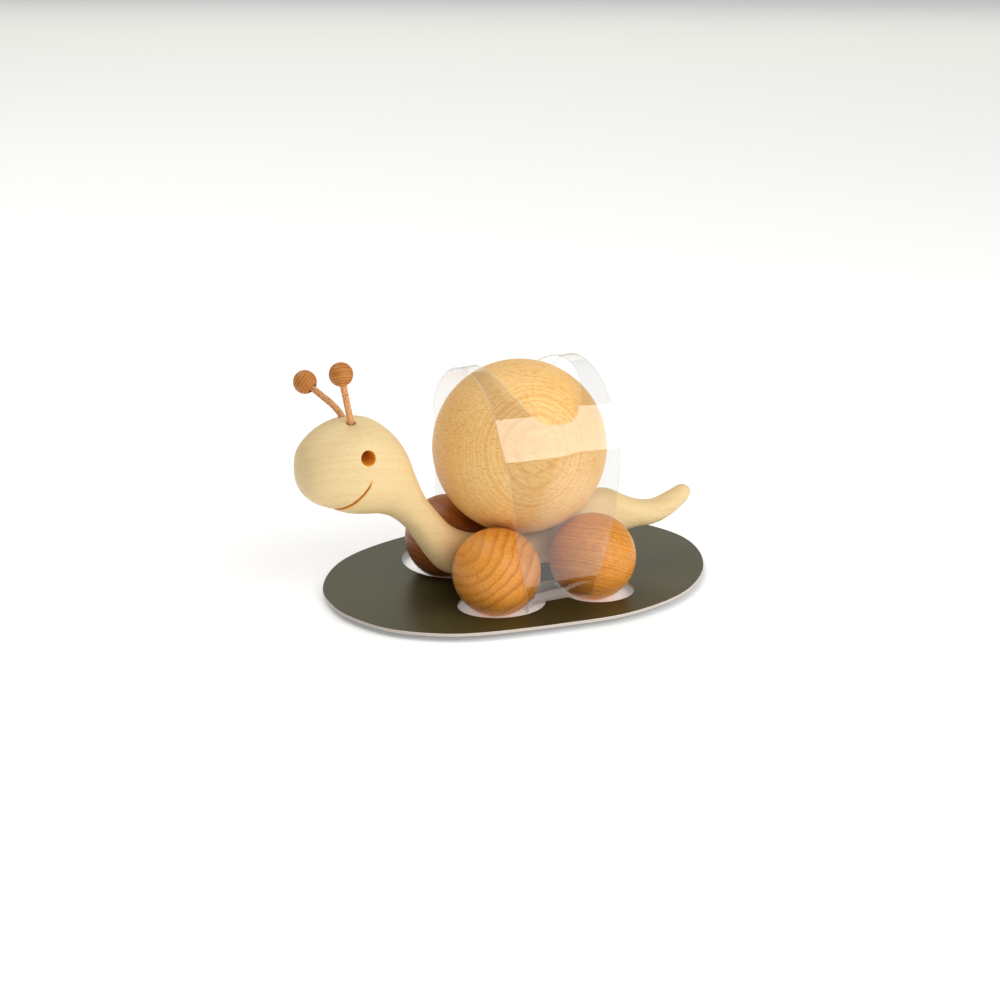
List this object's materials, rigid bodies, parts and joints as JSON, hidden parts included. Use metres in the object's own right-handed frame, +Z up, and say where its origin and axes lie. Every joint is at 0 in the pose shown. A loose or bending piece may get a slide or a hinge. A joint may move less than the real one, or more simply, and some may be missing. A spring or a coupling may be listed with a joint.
{
  "type": "toy snail",
  "caption": "Wooden rolling snail with ball wheels, a loose ball for its shell and leather feelers, held by a clear film strap on an oval display card.",
  "frame": {"origin": "on the floor, midway between the four wheels", "axes": "+X towards the snail's head, +Y to the snail's left, +Z up"},
  "size_m": [0.1549, 0.1068, 0.0907],
  "materials": {
    "maple": "fine sanded pale maple, satin wax",
    "beech": "turned beech, satin oil",
    "oiled_beech": "turned beech, oiled orange brown, satin",
    "oiled_bead": "small turned beads, oiled reddish brown, satin",
    "leather": "round cord, reddish brown, matt with dark specks",
    "card": "dark olive printed face, satin, pale layered edge",
    "clear_film": "clear flexible film, glossy"
  },
  "bodies": {
    "snail": {"body": "maple", "feeler_stalk_left": "leather", "feeler_stalk_right": "leather", "display_card": "card", "clear_strap": "clear_film"},
    "shell": {"shell_ball": "beech"},
    "front_wheels": {"axle_front": "beech", "wheel_front_left": "oiled_beech", "wheel_front_right": "oiled_beech"},
    "rear_wheels": {"axle_rear": "beech", "wheel_rear_left": "oiled_beech", "wheel_rear_right": "oiled_beech"},
    "left_bead": {"feeler_bead_left": "oiled_bead"},
    "right_bead": {"feeler_bead_right": "oiled_bead"}
  },
  "joints": [
    {"name": "shell_spin", "type": "hinge", "parent": "snail", "child": "shell", "pos_m": [0, 0, 0.05134], "axis": [0, 1, 0], "continuous": true},
    {"name": "front_axle_spin", "type": "hinge", "parent": "snail", "child": "front_wheels", "pos_m": [0.0182, 0, 0.015], "axis": [0, 1, 0], "continuous": true},
    {"name": "rear_axle_spin", "type": "hinge", "parent": "snail", "child": "rear_wheels", "pos_m": [-0.0182, 0, 0.015], "axis": [0, 1, 0], "continuous": true},
    {"name": "feeler_left_flex", "type": "hinge", "parent": "snail", "child": "left_bead", "pos_m": [0.0648, 0.005, 0.0742], "axis": [0, 1, 0], "range_deg": [-20, 20], "stiffness_Nm_per_rad": 0.004, "deforming": ["feeler_stalk_left"]},
    {"name": "feeler_right_flex", "type": "hinge", "parent": "snail", "child": "right_bead", "pos_m": [0.0648, -0.0055, 0.0736], "axis": [0, 1, 0], "range_deg": [-20, 20], "stiffness_Nm_per_rad": 0.004, "deforming": ["feeler_stalk_right"]}
  ],
  "couplings": [
    {"joint": "front_axle_spin", "follows": "shell_spin", "ratio": -2},
    {"joint": "rear_axle_spin", "follows": "shell_spin", "ratio": -2}
  ]
}
